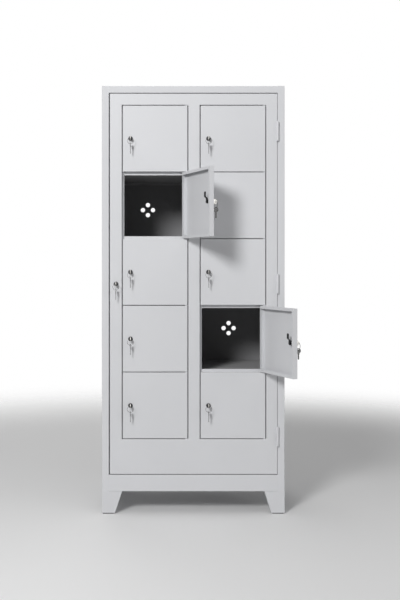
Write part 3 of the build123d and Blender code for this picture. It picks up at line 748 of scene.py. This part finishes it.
def swept(sections, path_closed=False):
    """Quads over rows of points. Each row is one closed profile, and row meets next row.
    An open path is closed at each end by a last row drawn together into the row's middle."""
    if not path_closed:
        first = np.repeat(sections[:1].mean(axis=1, keepdims=True), sections.shape[1], axis=1)
        last = np.repeat(sections[-1:].mean(axis=1, keepdims=True), sections.shape[1], axis=1)
        sections = np.concatenate([first, sections, last])
    steps, around = sections.shape[:2]
    rows = np.arange(steps if path_closed else steps - 1)
    row, column = np.meshgrid(rows, np.arange(around), indexing="ij")
    next_row = (row + 1) % steps
    next_column = (column + 1) % around
    quads = np.stack(
        [
            row * around + column,
            row * around + next_column,
            next_row * around + next_column,
            next_row * around + column,
        ],
        axis=-1,
    )
    return sections.reshape(-1, 3), quads.reshape(-1, 4)


def add_piece(name, parts, material, body):
    """One object from several swept parts, with doubled points merged and faces outwards."""
    counts = [len(points) for points, quads in parts]
    shifts = np.concatenate([[0], np.cumsum(counts)[:-1]])
    all_points = np.concatenate([points for points, quads in parts])
    all_quads = np.concatenate([part[1] + shift for part, shift in zip(parts, shifts)])
    mesh = bpy.data.meshes.new(name)
    mesh.from_pydata(all_points.tolist(), [], all_quads.tolist())
    work = bmesh.new()
    work.from_mesh(mesh)
    bmesh.ops.remove_doubles(work, verts=work.verts, dist=SAME_POINT)
    bmesh.ops.recalc_face_normals(work, faces=work.faces)
    work.to_mesh(mesh)
    work.free()
    mesh.shade_smooth()
    mesh.set_sharp_from_angle(angle=SHARP_ANGLE)
    mesh.materials.append(material)
    piece = bpy.data.objects.new(name, mesh)
    bpy.context.scene.collection.objects.link(piece)
    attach(piece, body)
    return piece


print("edges sharper than", round(math.degrees(SHARP_ANGLE)), "degrees stay sharp")

# %% [markdown]
# At each front corner the folded stile meets the rail of the top or base sheet. The
# fold is round, so it leaves a groove, and the factory fills that with weld and grinds
# it flush: the front reads as one sheet. The filler is a three-cornered prism, two
# sides flat and one following the fold. Bending the solids themselves to meet would
# also close the groove, but it would lose the seam that is really there behind.

# %% Ground welds in the front corners
STILE_WIDTH = 30.0 * MM
FOLD_RADIUS = 2.2 * MM
TOP_RAIL = 30.0 * MM
BASE_RAIL = 71.0 * MM
FOLD_STEPS = 9
WELD_ROWS = 4
END_SETBACK = 2.2 * MM


def ground_weld(hand, low_z, high_z):
    """A prism between the front plane, the rail's end and the stile's quarter-round fold."""
    rail_end_x = hand * (BODY_RIGHT_X - STILE_WIDTH)
    turn = np.linspace(0, math.pi / 2, FOLD_STEPS)
    fold_x = rail_end_x + hand * FOLD_RADIUS * (1 - np.sin(turn))
    fold_y = FRONT_Y + FOLD_RADIUS * (1 - np.cos(turn))
    outline = np.stack([np.append(fold_x, rail_end_x), np.append(fold_y, FRONT_Y)], axis=1)
    heights = np.linspace(low_z, high_z, WELD_ROWS)
    rows = [np.column_stack([outline, np.full(len(outline), z)]) for z in heights]
    return swept(np.stack(rows))


weld_spans = (
    (BODY_TOP_Z - TOP_RAIL, BODY_TOP_Z - END_SETBACK),
    (BODY_BOTTOM_Z + END_SETBACK, BODY_BOTTOM_Z + BASE_RAIL),
)
corner_welds = add_piece(
    "ground_corner_welds",
    [ground_weld(hand, low_z, high_z) for low_z, high_z in weld_spans for hand in (-1, 1)],
    paint,
    "cabinet",
)
print("corner welds:", len(corner_welds.data.polygons), "faces")

# %% [markdown]
# A weld bead is a row of puddles, each frozen over the last. A plain tube would look
# like sealant, and a sculpted bead would need thousands of faces. A circle carried
# along the seam does it if its radius swells and pinches once for each puddle and runs
# out round at both ends. Half of it is buried in the corner that it fills.

# %% Weld beads
PUDDLE_PINCH = 0.16
STEPS_PER_PUDDLE = 5
BEAD_AROUND = 10
SMALLEST_END = 0.01
# A slanted direction that no seam follows, from which a bead finds its sides
NO_SEAM_DIRECTION = (0.36, 0.48, 0.80)


def weld_bead(start, end, radius, puddle):
    """A circle carried from start to end. Its radius follows the size of a half sine that
    repeats once a puddle, times a quarter circle's height over the first and last radius."""
    start = np.array(start)
    reach = np.array(end) - start
    length = np.linalg.norm(reach)
    direction = reach / length
    side = np.cross(direction, NO_SEAM_DIRECTION)
    side = side / np.linalg.norm(side)
    other_side = np.cross(direction, side)
    distance = np.linspace(0, length, int(length / puddle * STEPS_PER_PUDDLE))
    from_end = np.minimum(distance, length - distance) / radius
    run_out = np.sqrt(np.clip(1 - np.clip(1 - from_end, 0, 1) ** 2, SMALLEST_END, 1))
    swell = 1 - PUDDLE_PINCH + PUDDLE_PINCH * np.abs(np.sin(np.pi * distance / puddle))
    size = radius * run_out * swell
    angle = np.linspace(0, 2 * np.pi, BEAD_AROUND, endpoint=False)
    circle = np.cos(angle)[:, None] * side + np.sin(angle)[:, None] * other_side
    middles = start + distance[:, None] * direction
    return swept(middles[:, None, :] + size[:, None, None] * circle)


print("a puddle has", STEPS_PER_PUDDLE * BEAD_AROUND, "faces")

# %% [markdown]
# The master door hangs on three barrels, each welded on along its side: the lower half
# to the cabinet's stile, the upper half to the door. One bead along the whole barrel
# would be simpler, but the beads have to part when the door opens. So the two sets are
# two pieces, each riding on its own body.

# %% Beads beside the hinges
HINGE_RADIUS = 5.5 * MM
HINGE_INSET = 163.0 * MM
HINGE_HALF = 42.5 * MM
HINGE_BEAD = 1.5 * MM
PUDDLE_SHORT = 1.7 * MM

hinge_heights = (
    MASTER_BOTTOM_Z + HINGE_INSET,
    (MASTER_BOTTOM_Z + MASTER_TOP_Z) / 2,
    MASTER_TOP_Z - HINGE_INSET,
)


def hinge_beads(hand):
    """One bead per barrel, on the frame's side for 1 and on the door's side for -1."""
    bead_x = HINGE_X + hand * HINGE_RADIUS
    near = -hand * HINGE_RADIUS
    far = -hand * (HINGE_HALF - HINGE_RADIUS)
    ends = [((bead_x, FRONT_Y, z + near), (bead_x, FRONT_Y, z + far)) for z in hinge_heights]
    return [weld_bead(start, end, HINGE_BEAD, PUDDLE_SHORT) for start, end in ends]


frame_beads = add_piece("frame_hinge_beads", hinge_beads(1), paint, "cabinet")
door_beads = add_piece("door_hinge_beads", hinge_beads(-1), paint, "master_door")
print("hinge beads:", len(frame_beads.data.polygons) + len(door_beads.data.polygons), "faces")

# %% [markdown]
# Each foot is welded to the base along the top of its two sloping inner sides, where
# the bead can't be seen from eye height. The two outer sides stay a fine line. Left
# out, the beads would not be missed from the front, but from low down they show that
# the feet are pieces of their own. The same bead does for them, with wider puddles.

# %% Beads under the base
FOOT_TOP = 87.0 * MM
FOOT_BEAD = 2.0 * MM
PUDDLE_LONG = 2.6 * MM
BEAD_MARGIN = 5.0 * MM

foot_beads = []
for hand in (-1, 1):
    for end in (-1, 1):
        inner_x = hand * (BODY_RIGHT_X - FOOT_TOP)
        inner_y = end * (BACK_Y - FOOT_TOP)
        outer_x = hand * (BODY_RIGHT_X - BEAD_MARGIN)
        outer_y = end * (BACK_Y - BEAD_MARGIN)
        corner = (inner_x, inner_y, BODY_BOTTOM_Z)
        for outer in ((outer_x, inner_y, BODY_BOTTOM_Z), (inner_x, outer_y, BODY_BOTTOM_Z)):
            foot_beads.append(weld_bead(corner, outer, FOOT_BEAD, PUDDLE_LONG))
foot_welds = add_piece("foot_weld_beads", foot_beads, paint, "cabinet")
print("foot beads:", len(foot_welds.data.polygons), "faces")

# %% [markdown]
# A key ring is a flat wire wound twice, with a step where one turn crosses over to the
# next and a short gap beside it where the two ends stop. In the solids it is one plain
# wire ring. Two plain rings side by side would come close, but only a wire wound like
# the real one shows the step, by which every key is threaded on.

# %% The split ring
RING_STANDOFF = 24.5 * MM
RING_RADIUS = 13.0 * MM
WIRE_HALF_HEIGHT = 0.55 * MM
WIRE_HALF_WIDTH = 0.5 * MM
END_ANGLE = 0.30
STEP_ANGLE = 0.24
STEP_PLACE = math.radians(105)
RING_STEPS = 170
WIRE_AROUND = 10
WIRE_SQUARENESS = 0.6


def split_ring():
    """A squared-off circle carried round twice. From the front turn it moves to the back
    turn by a smooth step, half-way along. Angles are measured from the top of the ring."""
    angle = np.linspace(END_ANGLE, 4 * math.pi - END_ANGLE, RING_STEPS)
    share = np.clip((angle - 2 * math.pi + STEP_ANGLE) / (2 * STEP_ANGLE), 0, 1)
    shift = WIRE_HALF_WIDTH * (2 * share * share * (3 - 2 * share) - 1)
    around = np.linspace(0, 2 * np.pi, WIRE_AROUND, endpoint=False)
    outward = WIRE_HALF_HEIGHT * np.sign(np.cos(around)) * np.abs(np.cos(around)) ** WIRE_SQUARENESS
    backward = WIRE_HALF_WIDTH * np.sign(np.sin(around)) * np.abs(np.sin(around)) ** WIRE_SQUARENESS
    radius = RING_RADIUS + outward[None, :]
    turned = (angle + STEP_PLACE)[:, None]
    x = radius * np.sin(turned)
    y = shift[:, None] + backward[None, :] - RING_STANDOFF
    z = radius * np.cos(turned) - RING_RADIUS
    return swept(np.stack([x, y, z], axis=-1))


ring_points, ring_quads = split_ring()
print("split ring:", len(ring_quads), "faces")

# %% [markdown]
# A spare key hangs edge-on at the bottom of each ring. Its bow is coined: the rims of
# the bow and of its slot stand a little proud, and the field between is lower. A disc
# with the slot cut out would have flat faces and sharp edges. Instead, the bow is one
# profile, from the slot's rim across the field to the outer rim and back along the
# other face, carried once round the slot.

# %% The bow of a key
KEY_HALF = 0.9 * MM
BOW_RADIUS = 10.55 * MM
BOW_OFFSET = 5.8 * MM
SLOT_HALF_LENGTH = 4.15 * MM
SLOT_HALF_WIDTH = 1.25 * MM
SLOT_SHARPNESS = 2.0
BOW_STEPS = 56
# Share of the way from the slot's rim to the outer rim, and share of the half thickness
BOW_PROFILE = np.array([
    (0.00, 0.80),
    (0.03, 1.15),
    (0.06, 1.25),
    (0.13, 1.25),
    (0.17, 1.04),
    (0.80, 1.04),
    (0.84, 1.25),
    (0.95, 1.25),
    (0.98, 1.15),
    (1.00, 0.80),
])


def key_bow():
    """The slot's rim is a circle pulled apart sideways, and the outer rim is where a ray from
    the slot's middle leaves the bow's circle. Each profile point lies between the two."""
    angle = np.linspace(0, 2 * np.pi, BOW_STEPS, endpoint=False)
    pull = (SLOT_HALF_LENGTH - SLOT_HALF_WIDTH) * np.clip(SLOT_SHARPNESS * np.cos(angle), -1, 1)
    rim_x = pull + SLOT_HALF_WIDTH * np.cos(angle)
    rim = np.stack([rim_x, SLOT_HALF_WIDTH * np.sin(angle)], axis=-1)
    ray = BOW_OFFSET * np.sin(angle) + np.sqrt(BOW_RADIUS ** 2 - (BOW_OFFSET * np.cos(angle)) ** 2)
    outer = ray[:, None] * np.stack([np.cos(angle), np.sin(angle)], axis=-1)
    profile = np.concatenate([BOW_PROFILE, BOW_PROFILE[::-1] * (1, -1)])
    share = profile[None, :, :1]
    flat = rim[:, None, :] * (1 - share) + outer[:, None, :] * share
    thick = np.broadcast_to(KEY_HALF * profile[None, :, 1:], flat.shape[:2] + (1,))
    return swept(np.concatenate([flat, thick], axis=-1), path_closed=True)


bow_points, bow_quads = key_bow()
print("bow:", len(bow_quads), "faces")

# %% [markdown]
# The blade is milled with a groove on each face, so that it fits its own keyway, and
# notched for the tumblers. Cutting it with booleans would be slow for eleven keys and
# messy at the edges. Its cross-section is carried from the bow to the tip instead: the
# edge moves in and out for the notches, and the groove starts past the shoulder.

# %% The blade of a key
NECK_START = 14.0 * MM
NECK_END = 20.3 * MM
NECK_HALF = 4.5 * MM
BLADE_HALF = 3.5 * MM
BLADE_LENGTH = 21.0 * MM
BLADE_THIN = 0.85 * MM
GROOVE_DEPTH = 0.35 * MM
NOTCH_COUNT = 4
NOTCH_REACH = 1.414 * MM
TIP_LENGTH = 2.33 * MM
SHOULDER_LENGTH = 0.1 * MM
NOTCHED_FROM_SHARE = 0.5
BLADE_STEPS = 62
# Share across the blade, share of the half thickness, and 1 where the groove is milled
BLADE_PROFILE = np.array([
    (-1.00, 0.55, 0),
    (-0.90, 1.00, 0),
    (-0.35, 1.00, 0),
    (-0.22, 1.00, 1),
    (0.08, 1.00, 1),
    (0.20, 1.00, 0),
    (0.90, 1.00, 0),
    (1.00, 0.55, 0),
])


def key_blade():
    """The profile's width follows the neck, the shoulder and the tip. On one edge it is less
    by the depth of the nearest notch, which falls off evenly on both sides of its middle."""
    blade_end = NECK_END + BLADE_LENGTH
    in_blade = np.linspace(NECK_END + SHOULDER_LENGTH, blade_end, BLADE_STEPS)
    along = np.concatenate([[NECK_START, NECK_END], in_blade])
    half = np.where(along <= NECK_END, NECK_HALF, BLADE_HALF)
    half = half - np.clip(along - (blade_end - TIP_LENGTH), 0, TIP_LENGTH)
    middles = NECK_END + BLADE_LENGTH / (NOTCH_COUNT + 1) * np.arange(1, NOTCH_COUNT + 1)
    notch = np.clip(NOTCH_REACH - np.abs(along[:, None] - middles), 0, None).max(axis=1)
    profile = np.concatenate([BLADE_PROFILE, BLADE_PROFILE[::-1] * (1, -1, 1)])
    share, thick, groove = profile.T
    notched = np.where(share > NOTCHED_FROM_SHARE, notch[:, None], 0)
    across = half[:, None] * share - notched
    milled = np.where(along[:, None] > NECK_END, GROOVE_DEPTH, 0) * groove * np.sign(thick)
    depth_here = BLADE_THIN * thick[None, :] - milled
    along_here = np.broadcast_to(along[:, None], across.shape)
    return swept(np.stack([across, along_here, depth_here], axis=-1))


blade_points, blade_quads = key_blade()
print("blade:", len(blade_quads), "faces")

# %% [markdown]
# A ring with its spare key hangs at every lock. Eleven could be placed by hand, but the
# frame's record says where each lock's axis starts and which way it points, also on the
# two open doors. The three directions at a lock follow from that one arrow and the
# vertical, so ring and key are made once and set down eleven times. The new piece
# replaces the plain ring and key there and rides on their body, so it swings as they do.

# %% A ring and its spare key at every lock
SPARE_SLOT_DROP = 26.6 * MM


def hang_key(points):
    """Turn a key so that its blade points down and its face looks sideways, below the ring."""
    across, along, thick = points.T
    return np.stack([thick, -across - RING_STANDOFF, -along - SPARE_SLOT_DROP], axis=1)


def at_lock(points, lock_joint):
    """Carry points from a lock's own right, back and up into the frame's X, Y and Z."""
    back = -np.array(lock_joint["axis"], dtype=float)
    up = np.array((0.0, 0.0, 1.0))
    right = np.cross(back, up)
    return np.array(lock_joint["pos_m"]) + points @ np.stack([right, back, up])


hanging_bow = hang_key(bow_points)
hanging_blade = hang_key(blade_points)
lock_names = [name[: -len("_lock_turn")] for name in RECORD_JOINTS if name.endswith("_lock_turn")]
for name in lock_names:
    lock_joint = RECORD_JOINTS[name + "_lock_turn"]
    parts = [
        (at_lock(ring_points, lock_joint), ring_quads),
        (at_lock(hanging_bow, lock_joint), bow_quads),
        (at_lock(hanging_blade, lock_joint), blade_quads),
    ]
    # Ring and spare key take the darkened nickel, a painted reflection of a dim room
    ring_and_key = add_piece(
        name + "_split_ring_and_key", parts, key_nickel_painted_dim_reflection, name + "_ring"
    )
    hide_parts(name + "_key_ring")
print("rings with a spare key:", len(lock_names))

# %% [markdown]
# The key in each lock keeps a bright nickel, while the head of the lock carries the
# painted reflection of a dim room. Seen from the front the key is edge-on, a bright
# upright stroke over that dark head, which is how the eye finds the locks.
# Its blade and neck are part of the solid plug, and a whole new key would only repeat
# them. So just the coined bow is new: it closes round the plain one, a little thicker,
# and rides on the plug so that it turns too.

# %% The bow of the key in each lock
def insert_key(points):
    """Turn a key so that its blade points back into the lock and its face looks sideways."""
    across, along, thick = points.T
    return np.stack([-thick, along - RING_STANDOFF, across], axis=1)


inserted_bow = insert_key(bow_points)
for name in lock_names:
    placed_bow = at_lock(inserted_bow, RECORD_JOINTS[name + "_lock_turn"])
    add_piece(name + "_key_bow", [(placed_bow, bow_quads)], bow_nickel, name + "_plug")
print("bows on the keys in the locks:", len(lock_names))
